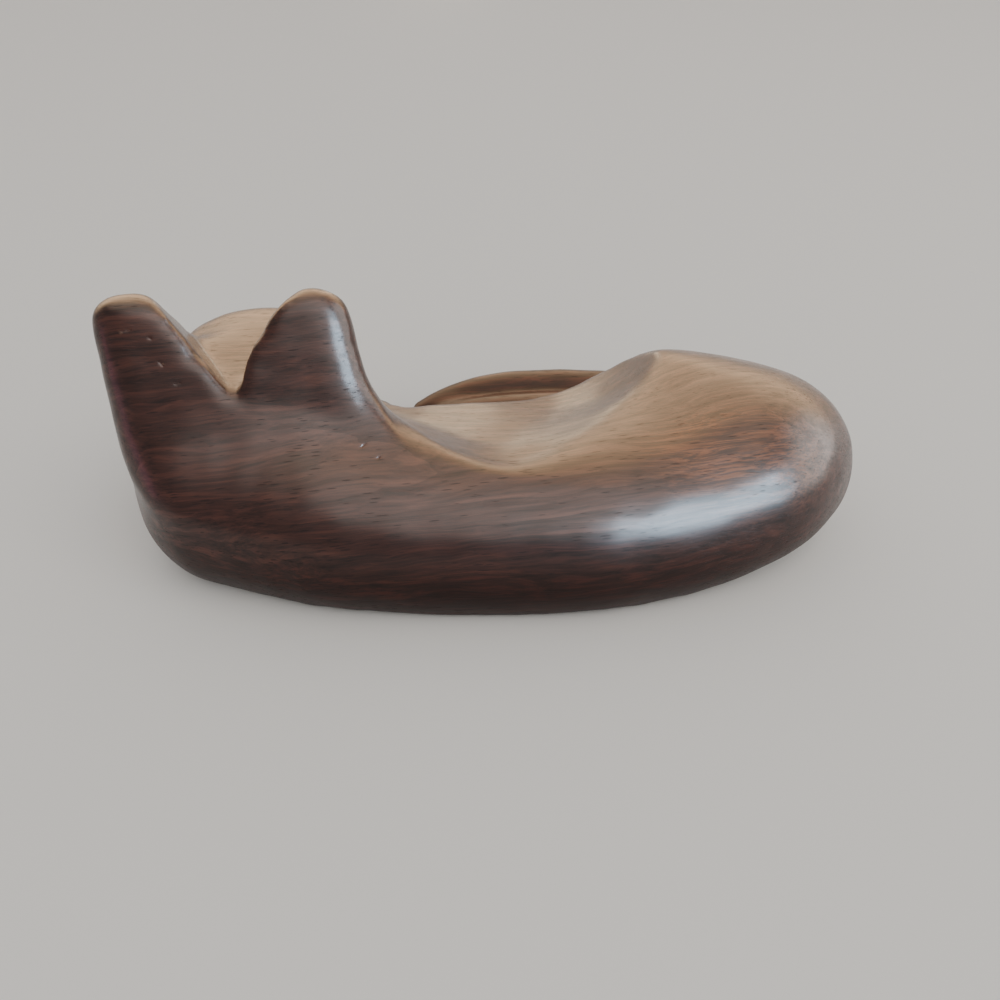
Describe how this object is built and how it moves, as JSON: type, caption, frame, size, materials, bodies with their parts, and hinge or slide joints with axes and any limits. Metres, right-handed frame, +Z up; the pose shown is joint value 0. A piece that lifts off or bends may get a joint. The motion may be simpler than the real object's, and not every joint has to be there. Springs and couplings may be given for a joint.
{
  "type": "carved wooden cat figurine",
  "caption": "Reclining cat carved from solid dark polished hardwood: blunt upright ears, a deep scoop behind the head, a rounded haunch and a wrapped tail.",
  "frame": {"origin": "middle of the box around the cat, at the height of the surface that it lies on", "axes": "+X from head to rump, +Y the way the cat looks, +Z up"},
  "size_m": [0.1762, 0.0922, 0.0666],
  "materials": {
    "dark_wood": "dark reddish brown hardwood, rubbed and waxed to a satin gloss"
  },
  "bodies": {
    "root": {"cat": "dark_wood"}
  },
  "joints": []
}
